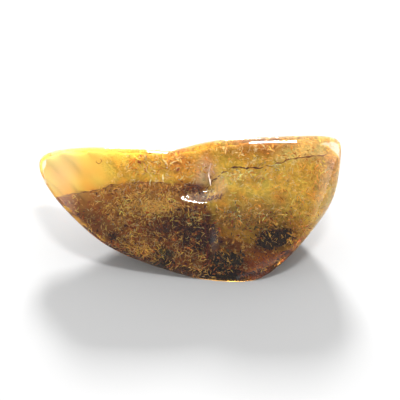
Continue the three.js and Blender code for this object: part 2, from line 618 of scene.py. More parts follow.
    def inside(self, pixels: np.ndarray, depth: np.ndarray, face: Face) -> tuple[np.ndarray, np.ndarray]:
        """Points inside the stone that show at these pixels.

        Args:
            pixels: rows of pairs.
            depth: millimetres along the bent line, for each pixel.
            face: the face that the line has to enter.

        Returns:
            The points, and True where the line enters that face and doesn't graze it.
        """
        points, normals, hit = self.entries(pixels)
        way = self.rays(pixels)
        low, high = face.value
        on_face = (normals[:, 2] > low) & (normals[:, 2] <= high) & ((way * normals).sum(-1) < -self.grazing)
        return points + self.bent(way, normals) * depth[:, None], hit & on_face


@dataclass(frozen=True)
class Swell:
    """The grain of a cloudy pattern: its swells to a millimetre, their detail, and how they are warped."""

    per_mm: float
    detail: float = 3.0
    warp: float = 0.0


class Look:
    """A material being made, with short ways to add and join its nodes."""

    def __init__(self, name: str) -> None:
        """Starts a material with one Principled shader.

        Args:
            name: the material's name.
        """
        self.mat = bpy.data.materials.new(name)
        self.mat.use_nodes = True
        self.tree = self.mat.node_tree
        self.shader = self.tree.nodes["Principled BSDF"]

    def plain(self, **values: float | tuple[float, ...]) -> Look:
        """Sets the shader's own sockets, with _ for each space in a socket's name.

        Args:
            values: a number or a colour for each socket.

        Returns:
            This look.
        """
        for name, value in values.items():
            self.feed(self.shader.inputs[name.replace("_", " ")], value)
        return self

    def node(self, kind: str, inputs: dict[str, object] | None = None, **settings: object) -> bpy.types.Node:
        """Adds a node.

        Args:
            kind: the node's type without its Shader prefix.
            inputs: for each input by name, a value or another node's output.
            settings: the node's own properties.

        Returns:
            The node.
        """
        made = self.tree.nodes.new("ShaderNode" + kind)
        for name, value in settings.items():
            setattr(made, name, value)
        for name, value in (inputs or {}).items():
            self.feed(made.inputs[name], value)
        return made

    def feed(self, socket: bpy.types.NodeSocket, value: object) -> None:
        """Joins an output to a socket, or sets the socket's own value.

        Args:
            socket: the input.
            value: another node's output, a number, or three numbers.
        """
        if isinstance(value, bpy.types.NodeSocket):
            self.tree.links.new(value, socket)
        else:
            socket.default_value = (*value, 1) if socket.type == "RGBA" else value

    def math(self, operation: str, *values: object) -> bpy.types.NodeSocket:
        """Adds a Math node.

        Args:
            operation: its operation.
            values: its inputs in turn.

        Returns:
            Its result.
        """
        made = self.node("Math", operation=operation)
        for socket, value in zip(made.inputs, values):
            self.feed(socket, value)
        return made.outputs[0]

    def vector(self, operation: str, *values: object) -> bpy.types.NodeSocket:
        """Adds a Vector Math node.

        Args:
            operation: its operation.
            values: its inputs in turn.

        Returns:
            Its result, a number for a length and a vector for the rest.
        """
        made = self.node("VectorMath", operation=operation)
        for socket, value in zip(made.inputs, values):
            self.feed(socket, value)
        return made.outputs["Value" if operation == "LENGTH" else "Vector"]

    def place(self) -> bpy.types.NodeSocket:
        """The object's own coordinates, in metres."""
        return self.node("TexCoord").outputs["Object"]

    def noise(self, swell: Swell) -> bpy.types.NodeSocket:
        """A cloudy value from 0 to 1."""
        names = {"Scale": swell.per_mm / MM, "Detail": swell.detail, "Distortion": swell.warp}
        return self.node("TexNoise", {"Vector": self.place(), **names}).outputs["Fac"]

    def spread(
        self, value: bpy.types.NodeSocket, low: float, high: float, to_low: float = 0.0, to_high: float = 1.0
    ) -> bpy.types.NodeSocket:
        """A value from low to high, spread out to another range and kept in it."""
        names = {"Value": value, "From Min": low, "From Max": high, "To Min": to_low, "To Max": to_high}
        return self.node("MapRange", names, clamp=True).outputs["Result"]

    def times(self, one: bpy.types.NodeSocket, other: object) -> bpy.types.NodeSocket:
        """The product of two values."""
        return self.math("MULTIPLY", one, other)

    def mixed(self, amount: object, one: object, other: object) -> bpy.types.NodeSocket:
        """One colour with another over it by an amount from 0 to 1."""
        return self.node("MixRGB", {"Fac": amount, "Color1": one, "Color2": other}).outputs["Color"]

    def mark(self, name: str) -> bpy.types.Node:
        """A node that reads one of the mesh's own attributes."""
        return self.node("Attribute", attribute_name=name, attribute_type="GEOMETRY")

    def bump(self, height: bpy.types.NodeSocket, depth_mm: float) -> None:
        """Lets a height from 0 to 1 tilt the surface, as if it were this deep."""
        made = self.node("Bump", {"Height": height, "Distance": depth_mm * MM, "Strength": 1.0})
        self.tree.links.new(made.outputs["Normal"], self.shader.inputs["Normal"])


def mottle_group() -> bpy.types.NodeTree:
    """The effect that mottles a colour, made once and used by each material that needs it.

    The colour is multiplied by a cloudy value of the object's own coordinates, spread from Low to High.

    Returns:
        The node group.
    """
    name = "mottle"
    if name in bpy.data.node_groups:
        return bpy.data.node_groups[name]
    group = bpy.data.node_groups.new(name, "ShaderNodeTree")
    group.interface.new_socket("Tint", in_out="INPUT", socket_type="NodeSocketColor")
    for number in ("Scale", "Detail", "Warp", "Low", "High"):
        group.interface.new_socket(number, in_out="INPUT", socket_type="NodeSocketFloat")
    group.interface.new_socket("Colour", in_out="OUTPUT", socket_type="NodeSocketColor")
    given, result = group.nodes.new("NodeGroupInput"), group.nodes.new("NodeGroupOutput")
    place, noise = group.nodes.new("ShaderNodeTexCoord"), group.nodes.new("ShaderNodeTexNoise")
    spread, shade = group.nodes.new("ShaderNodeMapRange"), group.nodes.new("ShaderNodeVectorMath")
    spread.inputs["From Min"].default_value, spread.inputs["From Max"].default_value = NOISE_LOW, NOISE_HIGH
    shade.operation = "SCALE"
    join = group.links.new
    join(place.outputs["Object"], noise.inputs["Vector"])
    join(given.outputs["Scale"], noise.inputs["Scale"])
    join(given.outputs["Detail"], noise.inputs["Detail"])
    join(given.outputs["Warp"], noise.inputs["Distortion"])
    join(noise.outputs["Fac"], spread.inputs["Value"])
    join(given.outputs["Low"], spread.inputs["To Min"])
    join(given.outputs["High"], spread.inputs["To Max"])
    join(given.outputs["Tint"], shade.inputs[0])
    join(spread.outputs["Result"], shade.inputs["Scale"])
    join(shade.outputs["Vector"], result.inputs["Colour"])
    return group


@dataclass(frozen=True)
class Mottle:
    """How a colour is mottled: the grain of the swells, and how dark and how bright they make it."""

    per_mm: float
    detail: float = 3.0
    warp: float = 0.0
    low: float = 0.7
    high: float = 1.2

    def over(self, look: Look, tint: bpy.types.NodeSocket) -> bpy.types.NodeSocket:
        """Adds a node of the shared group.

        Args:
            look: the material that it goes into.
            tint: the colour to be mottled.

        Returns:
            The mottled colour.
        """
        made = look.tree.nodes.new("ShaderNodeGroup")
        made.node_tree = mottle_group()
        values = {"Tint": tint, "Scale": self.per_mm / MM, "Detail": self.detail, "Warp": self.warp}
        values |= {"Low": self.low, "High": self.high}
        for name, value in values.items():
            look.feed(made.inputs[name], value)
        return made.outputs["Colour"]


@dataclass(frozen=True)
class WornSpot:
    """A spot that the polishing left uneven: its middle from the heart and its half sizes, in millimetres."""

    at: tuple[float, float, float]
    stretch: tuple[float, float, float]
    wear: float = 1.0


@dataclass(frozen=True)
class AmberFinish:
    """Polished resin: clear, a little wavy, and honey-coloured by how far light goes through it."""

    tint: tuple[float, float, float] = (0.985, 0.87, 0.55)
    density: float = 500.0
    ior: float = 1.54
    roughness: float = 0.03
    frosted: float = 0.05
    ripple: Swell = Swell(0.35, 1.0)
    ripple_mm: float = 0.02
    wear: Swell = Swell(1.6, 4.0, 0.8)
    wear_mm: float = 0.07
    spots: tuple[WornSpot, ...] = (
        WornSpot((-1.1, -1.3, 3.1), (1.8, 0.7, 0.7)),
        WornSpot((2.3, 2.2, 4.5), (0.7, 2.2, 1.6), 0.15),
    )
    spot_core: float = 0.35

    def worn(self, look: Look, placing: Placing) -> bpy.types.NodeSocket:
        """How worn the surface is at each place: the most that any worn spot gives there.

        Args:
            look: the material.
            placing: where the heart lies.

        Returns:
            A value from 0 on the polished surface to 1 in the middle of a spot.
        """
        total = 0.0
        for spot in self.spots:
            away = look.vector("SUBTRACT", look.place(), tuple(placing.metres(np.array(spot.at))))
            length = look.vector("LENGTH", look.vector("DIVIDE", away, tuple(s * MM for s in spot.stretch)))
            total = look.math("MAXIMUM", total, look.spread(length, self.spot_core, 1.0, spot.wear, 0.0))
        return total

    def material(self, placing: Placing) -> bpy.types.Material:
        """The material, with its absorption in the volume.

        Args:
            placing: where the heart lies.

        Returns:
            The material.
        """
        look = Look("amber").plain(Base_Color=(1.0, 1.0, 1.0), Transmission_Weight=1.0, IOR=self.ior)
        worn = self.worn(look, placing)
        look.feed(look.shader.inputs["Roughness"], look.spread(worn, 0.0, 1.0, self.roughness, self.frosted))
        ripple = look.times(look.noise(self.ripple), self.ripple_mm)
        wear = look.times(look.times(look.noise(self.wear), worn), self.wear_mm)
        look.bump(look.math("ADD", ripple, wear), depth_mm=1.0)
        absorb = look.node("VolumeAbsorption", {"Color": self.tint, "Density": self.density})
        look.feed(look.tree.nodes["Material Output"].inputs["Volume"], absorb.outputs["Volume"])
        return look.mat


@dataclass(frozen=True)
class GrainFinish:
    """Small grains and slivers soaked in resin, each of its own colour, which the mesh carries."""

    name: str
    roughness: float = 0.5
    metallic: float = 0.0
    clear: float = 0.0
    ior: float = 1.3
    mottle: Mottle = Mottle(6.0)

    def material(self) -> bpy.types.Material:
        """Makes the material: the grain's colour, mottled a little.

        Returns:
            The material.
        """
        look = Look(self.name).plain(Roughness=self.roughness, Metallic=self.metallic)
        look.plain(Transmission_Weight=self.clear, IOR=self.ior)
        shade = self.mottle.over(look, look.mark("tint").outputs["Color"])
        look.feed(look.shader.inputs["Base Color"], shade)
        return look.mat


@dataclass
class AmberBody:
    """The clear resin, one piece over both solids of the halves."""

    shape: StoneShape
    placing: Placing
    steps: int = 300
    sides: int = 300
    finish: AmberFinish = AmberFinish()

    def build(self) -> bpy.types.Object:
        """Makes the resin's surface and dresses it.

        Returns:
            The piece.
        """
        grid = self.shape.skin(self.steps, self.sides)
        points = self.placing.metres(closed_grid_points(grid))
        obj = mesh_object("amber_stone", points, closed_grid_faces(self.steps, self.sides))
        obj.data.materials.append(self.finish.material(self.placing))
        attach(obj, "root")
        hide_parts("amber_front_half", "amber_back_half")
        return obj


@dataclass(frozen=True)
class Patch:
    """A round or long patch of the photograph: middle and half sizes in pixels, and a turn in degrees."""

    middle: tuple[float, float]
    half: tuple[float, float]
    turn: float = 0.0

    def draw(self, rng: np.random.Generator, count: int, soft: bool) -> np.ndarray:
        """Draws random pixels in the patch.

        Args:
            rng: the source of random numbers.
            count: how many.
            soft: whether they thin out from the middle, or lie evenly all over.

        Returns:
            Rows of pairs.
        """
        if soft:
            flat = rng.normal(size=(count, 2)) * SOFT_SPREAD
        else:
            angle, reach = rng.uniform(0, 2 * np.pi, count), np.sqrt(rng.uniform(0, 1, count))
            flat = np.stack([np.cos(angle), np.sin(angle)], -1) * reach[:, None]
        return (flat * np.array(self.half)) @ turned_by(self.turn) + np.array(self.middle)

    def flattened(self, pixels: np.ndarray) -> np.ndarray:
        """Pixels as points on the patch's own axes, where its rim is the unit circle."""
        return (pixels - np.array(self.middle)) @ turned_by(-self.turn) / np.array(self.half)


@dataclass(frozen=True)
class HazeFinish:
    """Hazy resin full of tiny flakes: golden, crumpled like foil, with pale curved streaks."""

    roughness: float = 0.45
    clear: float = 0.06
    ior: float = 1.12
    crumple: Swell = Swell(1.6, 5.0, 1.2)
    crumple_mm: float = 0.5
    streak_colour: tuple[float, float, float] = linear(255, 244, 190)
    streak_lines: Swell = Swell(0.75, 2.0, 1.6)
    streak_width: float = 0.07
    streak_share: float = 0.85
    gaps: Swell = Swell(0.9, 3.0)
    gap_range: tuple[float, float] = (0.48, 0.62)
    mottle: Mottle = Mottle(1.0, 6.0, 1.2, 0.55, 1.02)

    def streaks(self, look: Look) -> bpy.types.NodeSocket:
        """Thin curved lines, where a cloudy value passes its middle, broken up by another cloudy value.

        Args:
            look: the material.

        Returns:
            A value that is 1 along the lines and 0 between them.
        """
        wave = look.math("MULTIPLY_ADD", look.noise(self.streak_lines), 2.0, -1.0)
        line = look.spread(look.math("ABSOLUTE", wave), 0.0, self.streak_width, 1.0, 0.0)
        return look.times(line, look.spread(look.noise(self.gaps), *self.gap_range))

    def material(self) -> bpy.types.Material:
        """Makes the material: the mesh's own tint, brighter and darker by swells, with the streaks over it.

        Returns:
            The material.
        """
        look = Look("haze").plain(Roughness=self.roughness, Transmission_Weight=self.clear, IOR=self.ior)
        tint, flaky = look.mark("tint").outputs["Color"], look.mark("flaky").outputs["Fac"]
        shade = look.mixed(flaky, tint, self.mottle.over(look, tint))
        amount = look.times(look.times(self.streaks(look), flaky), self.streak_share)
        look.feed(look.shader.inputs["Base Color"], look.mixed(amount, shade, self.streak_colour))
        look.bump(look.times(look.noise(self.crumple), flaky), self.crumple_mm)
        return look.mat


@dataclass(frozen=True)
class TintPatch:
    """A soft patch of the haze in another colour, where the photograph shows it; a few are painted glow and
    sheen.
    """

    patch: Patch
    colour: tuple[float, float, float]
    weight: float
    edge: float = 1.5

    def amount(self, pixels: np.ndarray) -> np.ndarray:
        """How much of the patch's colour each pixel gets: the weight times a bell over the patch."""
        flat = self.patch.flattened(pixels)
        return self.weight * np.exp(-((flat**2).sum(-1) ** self.edge))


def tinted_by_patches(
    tint_patches: tuple[TintPatch, ...], tint: np.ndarray, pixels: np.ndarray, weight: np.ndarray
) -> np.ndarray:
    """Lays tint patches over tints in turn, each by its own amount times a weight.

    Args:
        tint_patches: the patches, mostly the stone's own stains and a few of painted glow and sheen.
        tint: a colour for each point.
        pixels: where each point shows.
        weight: a number for each point.

    Returns:
        The new colours.
    """
    for tint_patch in tint_patches:
        amount = (tint_patch.amount(pixels) * weight)[:, None]
        tint = tint + (np.array(tint_patch.colour) - tint) * amount
    return tint


# The dark patches of the front face, which the pale slivers spare.
DARK_STAINS = (
    TintPatch(Patch((228, 260), (21, 11), 5), linear(56, 46, 34), 0.95),
    TintPatch(Patch((274, 238), (21, 12), -15), linear(88, 44, 32), 0.9),
    TintPatch(Patch((192, 232), (17, 20)), linear(96, 32, 26), 0.85),
    TintPatch(Patch((168, 225), (22, 12)), linear(124, 60, 42), 0.75),
    TintPatch(Patch((113, 236), (8, 6), 20), linear(60, 44, 30), 0.8),
    TintPatch(Patch((163, 255), (11, 8)), linear(60, 54, 36), 0.8),
    TintPatch(Patch((194, 187), (16, 6), 6), linear(172, 70, 26), 1.0),
    TintPatch(Patch((98, 222), (20, 8), 40), linear(92, 62, 42), 0.6),
    TintPatch(Patch((208, 236), (4, 26), 2), linear(110, 44, 30), 0.8),
)


@dataclass(frozen=True)
class Region:
    """A part of the photograph with a ragged rim: the rim's corners, about a middle that sees them all."""

    middle: tuple[float, float] = (150.0, 224.0)
    rim: tuple[tuple[float, float], ...] = (
        (57, 197), (90, 192), (120, 187), (160, 184), (192, 187), (206, 194), (206, 204), (211, 214),
        (210, 232), (222, 246), (262, 252), (284, 254), (270, 270), (250, 278), (222, 277), (176, 268),
        (132, 254), (102, 236), (78, 214),
    )
    ragged: float = 0.03
    teeth: tuple[tuple[int, float], ...] = ((23, 0.0), (37, 1.0), (61, 2.0))
    slack: float = 1.5
    soft: float = 2.0

    def reach(self, angle: np.ndarray) -> np.ndarray:
        """How far the rim is from the middle: read between its corners, with three rows of small teeth.

        Args:
            angle: radians, any number of them.

        Returns:
            Pixels, one for each angle.
        """
        away = np.array(self.rim) - np.array(self.middle)
        corner_angle = np.arctan2(away[:, 1], away[:, 0])
        order = np.argsort(corner_angle)
        length = np.linalg.norm(away, axis=1)[order]
        teeth = sum(np.sin(count * angle + phase) for count, phase in self.teeth)
        return np.interp(angle, corner_angle[order], length, period=2 * np.pi) * (1 + self.ragged * teeth / 2)

    def depth(self, pixels: np.ndarray) -> np.ndarray:
        """How far pixels lie inside the rim, in pixels, and less than nothing outside."""
        away = pixels - np.array(self.middle)
        return self.reach(np.arctan2(away[:, 1], away[:, 0])) - np.linalg.norm(away, axis=1)

    def holds(self, pixels: np.ndarray) -> np.ndarray:
        """True where pixels lie in the region or hardly outside."""
        return self.depth(pixels) > -self.slack

    def share(self, pixels: np.ndarray) -> np.ndarray:
        """1 inside the rim, 0 outside, and between them over a few pixels at the rim."""
        return np.clip(self.depth(pixels) / self.soft + 0.5, 0, 1)


# The brown dust under the left of the front face.
BROWN_REGION = Region()


@dataclass
class HazyHeart:
    """The hazy golden middle of the stone: a smaller, lumpy form of the stone about a middle of its own.

    The shares say how much of the way to the skin it fills, along X to the left and right, and across. Pits
    make room for the clumps. Its colour goes from low_colour to high_colour by height, to back_colour behind
    and to brown in its region, with tint patches over them: mostly the stone's own stains, and a few pale
    patches of painted glow and sheen. It is smooth at the slim tip and flaky in the rest.
    """

    shape: StoneShape
    placing: Placing
    sight: Sight
    middle: tuple[float, float, float] = (4.0, 1.6, 0.2)
    share_left: float = 0.985
    share_right: float = 0.95
    across: tuple[float, float] = (0.93, 0.88)
    across_from: tuple[float, float] = (-19.0, -12.0)
    lumps: Swirl = Swirl(0.035, 0.18, 2.0)
    most: float = 0.97
    rounds: int = 3
    steps: int = 220
    sides: int = 220
    low_colour: tuple[float, float, float] = linear(250, 186, 60)
    high_colour: tuple[float, float, float] = linear(255, 212, 76)
    low_height: float = -4.0
    height_range: float = 7.0
    height_of_back: float = 0.5
    back_colour: tuple[float, float, float] = linear(206, 134, 44)
    back_from: float = 0.5
    back_range: float = 2.5
    back_most: float = 0.85
    view_limit: float = 1.0
    brown: tuple[float, float, float] = linear(162, 94, 48)
    brown_share: float = 0.9
    redness: Swirl = Swirl(0.16, 0.22, 7.0)
    redder: tuple[float, float, float] = (0.2, -0.6, -1.0)
    flakes_from: float = -14.5
    flakes_range: float = 5.0
    flakes: Swirl = Swirl(0.3, 0.2, 1.0)
    pits: tuple[Hollow, ...] = (
        Hollow((1.2, -3.6, -2.1), (3.6, 3.2, 3.2), 2.6, (0, 0.77, -0.64)),
        Hollow((5.3, -5.6, -4.2), (3.2, 2.6, 2.6), 2.4, (0, 0.77, -0.3)),
        Hollow((12.0, -4.2, -1.8), (3.4, 2.8, 2.8), 2.4, (0, 0.77, -0.64)),
    )
    tint_patches: tuple[TintPatch, ...] = (
        TintPatch(Patch((134, 205), (42, 13), 8), linear(204, 134, 62), 0.6),
        TintPatch(Patch((286, 198), (54, 36), -5), linear(255, 222, 100), 0.85),
        TintPatch(Patch((240, 180), (26, 10)), linear(255, 222, 104), 0.8),
        TintPatch(Patch((296, 186), (34, 18), 20), linear(255, 210, 84), 0.7),
        TintPatch(Patch((262, 203), (34, 8), -6), linear(206, 158, 70), 0.5),
        TintPatch(Patch((226, 196), (13, 7)), linear(190, 134, 62), 0.5),
        # Painted glow: the bottom rim made lighter, standing in for light coming through it.
        TintPatch(Patch((215, 277), (76, 6), 6), linear(236, 158, 84), 0.8),
        TintPatch(Patch((138, 190), (64, 8), 2), linear(216, 148, 64), 0.7),
        TintPatch(Patch((190, 168), (17, 15), 10), linear(214, 110, 28), 0.85),
        TintPatch(Patch((243, 218), (44, 17)), linear(190, 150, 74), 0.7),
        TintPatch(Patch((264, 264), (36, 12), -8), linear(236, 124, 58), 0.95),
        *DARK_STAINS,
        TintPatch(Patch((56, 164), (60, 24), 2), linear(234, 204, 112), 1.0),
        TintPatch(Patch((160, 167), (50, 15), 2), linear(255, 206, 72), 0.9),
        TintPatch(Patch((146, 168), (14, 9)), linear(255, 226, 92), 0.8),
        TintPatch(Patch((173, 163), (13, 9)), linear(222, 112, 34), 0.65),
        # Pale pink painted as the milky sheen of the worn, frosted groove.
        TintPatch(Patch((206, 170), (10, 14)), linear(255, 206, 172), 0.8),
        TintPatch(Patch((275, 146), (74, 13), -3), linear(164, 104, 34), 0.95),
        # Painted glow: a pale patch at the top right where light gathers in the resin.
        TintPatch(Patch((304, 154), (24, 8), -6), linear(255, 236, 150), 0.95),
        TintPatch(Patch((330, 165), (14, 24)), linear(214, 152, 74), 0.7),
    )
    finish: HazeFinish = HazeFinish()

    def tints(self, points: np.ndarray) -> np.ndarray:
        """A colour for each point: lighter to the top, darker behind, brown in its region, then the tint
        patches.

        Args:
            points: the surface's points, from the heart.

        Returns:
            Linear red, green and blue in rows.
        """
        height = points[:, 2:] + self.height_of_back * points[:, 1:2]
        share = np.clip((height - self.low_height) / self.height_range, 0, 1)
        low, high = np.array(self.low_colour), np.array(self.high_colour)
        behind = (points - np.array(self.middle)) @ self.sight.axes()[2]
        in_view = behind < self.view_limit
        pixels = self.sight.pixels(points)
        tint = low + (high - low) * share
        back = np.clip((behind[:, None] - self.back_from) / self.back_range, 0, self.back_most)
        tint = tint + (np.array(self.back_colour) - tint) * back
        brown = (self.brown_share * in_view * BROWN_REGION.share(pixels))[:, None]
        tint = tint + (np.array(self.brown) - tint) * brown
        tint = tinted_by_patches(self.tint_patches, tint, pixels, in_view)
        redder = self.redness.over(points)[:, None] * np.array(self.redder)
        return (tint * (1 + redder)).clip(0, 1)

    def surface(self) -> np.ndarray:
        """The points of the surface.

        Each point of the stone's skin is drawn in towards the middle: along X by the shares to the left and
        right, and across by a share that eases from one value to another. Lumps and pits follow, and points
        that then lie too near the skin or outside are drawn in towards the heart.

        Returns:
            Points from the heart, in the order that closed_grid_faces uses.
        """
        middle = np.array(self.middle)
        skin = closed_grid_points(self.shape.skin(self.steps, self.sides))
        reach = skin - middle
        along = np.where(reach[:, :1] < 0, self.share_left, self.share_right)
        t = np.clip((skin[:, :1] - self.across_from[0]) / (self.across_from[1] - self.across_from[0]), 0, 1)
        across = self.across[0] + (self.across[1] - self.across[0]) * t * t * (3 - 2 * t)
        inner = reach * np.concatenate([along, across, across], 1)
        inner *= 1 + self.lumps.over(inner)[:, None]
        points = middle + inner
        for pit in self.pits:
            points = points + pit.move(points)
        for _ in range(self.rounds):
            points *= np.minimum(self.most / self.shape.level(points), 1)[:, None]
        return points

    def build(self) -> bpy.types.Object:
        """Makes the surface, gives it its colours, and says where it is flaky and where clear.

        Returns:
            The piece.
        """
        points = self.surface()
        flaky = (points[:, 0] - self.flakes_from) / self.flakes_range + self.flakes.over(points)
        faces = closed_grid_faces(self.steps, self.sides)
        obj = mesh_object("hazy_heart", self.placing.metres(points), faces)
        point_colours(obj, "tint", self.tints(points))
        point_values(obj, "flaky", np.clip(flaky, 0, 1))
        obj.data.materials.append(self.finish.material())
        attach(obj, "root")
        return obj


class Form(Enum):
    """The small forms that clouds are made of."""

    FLECK = "a squashed eight-sided grain"
    STREAK = "a thin curved sliver with pointed ends"
    BEAD = "a ball, such as a bubble of gas"

    @property
    def unevenness(self) -> float:
        """How far the corners of each copy stray, as a share of half its length."""
        return {Form.FLECK: 0.12, Form.STREAK: 0.02, Form.BEAD: 0.0}[self]

    def mesh(self) -> tuple[np.ndarray, np.ndarray]:
        """The form's mesh, a millimetre from its middle at the most.

        Returns:
            Points and triangles.
        """
        if self is Form.STREAK:
            return self.sliver()
        if self is Form.BEAD:
            return self.bead()
        points = np.array([[1, 0, 0], [-1, 0, 0], [0, 1, 0], [0, -1, 0], [0, 0, 1], [0, 0, -1]], float)
        faces = [[0, 2, 4], [2, 1, 4], [1, 3, 4], [3, 0, 4], [2, 0, 5], [1, 2, 5], [3, 1, 5], [0, 3, 5]]
        return points, np.array(faces)

    @staticmethod
    def bead(steps: int = 10, sides: int = 14) -> tuple[np.ndarray, np.ndarray]:
        """A ball of radius 1, as points and triangles."""
        return egg_points((1.0, 1.0, 1.0), steps, sides), closed_grid_faces(steps, sides)

    @staticmethod
    def sliver(
        stations: int = 5, bow: float = 0.3, half_width: float = 0.17, sides: int = 3
    ) -> tuple[np.ndarray, np.ndarray]:
        """A sliver: its middle line is a bow, and its width falls off to both ends as a parabola.

        Args:
            stations: sections between the two pointed ends.
            bow: how far the middle of the line stands off the line between the ends.
            half_width: half the width at the middle.
            sides: corners of a section.

        Returns:
            Points and triangles.
        """
        t = np.linspace(-1, 1, stations + 2)
        line = np.stack([t, bow * (1 - t * t), 0 * t], -1)
        width = half_width * (1 - t * t)[1:-1, None, None]
        angle = np.arange(sides) / sides * 2 * np.pi
        section = np.stack([0 * angle, np.cos(angle), np.sin(angle)], -1)
        rings = line[1:-1, None, :] + width * section
        points = np.concatenate([line[:1], rings.reshape(-1, 3), line[-1:]])
        return points, closed_grid_faces(stations + 2, sides)


def turns_near(rng: np.random.Generator, count: int, loose: float) -> np.ndarray:
    """Random rotations: small ones for a small looseness, and quite even ones for a large one.

    Each is a unit quaternion, the one of no turn plus four normal random numbers times the looseness.

    Args:
        rng: the source of random numbers.
        count: how many.
        loose: the looseness.

    Returns:
        A matrix for each.
    """
    q = rng.normal(size=(count, 4)) * loose
    q[:, 0] += 1
    w, x, y, z = (q / np.linalg.norm(q, axis=1, keepdims=True)).T
    rows = [
        [1 - 2 * (y * y + z * z), 2 * (x * y - w * z), 2 * (x * z + w * y)],
        [2 * (x * y + w * z), 1 - 2 * (x * x + z * z), 2 * (y * z - w * x)],
        [2 * (x * z - w * y), 2 * (y * z + w * x), 1 - 2 * (x * x + y * y)],
    ]
    return np.stack([np.stack(row, -1) for row in rows], -2)


def repeated(
    points: np.ndarray, faces: np.ndarray, turns: np.ndarray, sizes: np.ndarray, centres: np.ndarray
) -> tuple[np.ndarray, np.ndarray]:
    """One small form repeated: each copy is stretched by its size, turned, and moved to its centre.

    Args:
        points: the form's points, about its middle, a set for each copy.
        faces: its triangles.
        turns: a matrix for each copy.
        sizes: three stretches for each copy.
        centres: a middle for each copy.

    Returns:
        All the points and all the triangles.
    """
    count, each = len(centres), points.shape[-2]
    stretched = points * sizes[:, None, :]
    moved = np.einsum("nij,nkj->nki", turns, stretched) + centres[:, None, :]
    joined = faces[None] + (np.arange(count) * each)[:, None, None]
    return moved.reshape(-1, 3), joined.reshape(-1, 3)


@dataclass(frozen=True)
class Cloud:
    """A cloud of small forms: where the photograph shows it, how deep it lies, and how its grains lie.

    Lengths and depths are in millimetres. Long grains lie along the skin over them. The flow is their angle
    from level there, and loose says how far each strays from it: 0.2 is a little and 9 is all ways.
    """

    patch: Patch
    count: int
    depth: tuple[float, float]
    length: tuple[float, float]
    colours: tuple[tuple[float, float, float], ...]
    face: Face = Face.ANY
    soft: bool = True
    slim: tuple[float, float] = (0.25, 0.5)
    flat: float = 0.6
    flow: float = 0.0
    loose: float = 9.0
    region: Region | None = None
    spares_dark: bool = False


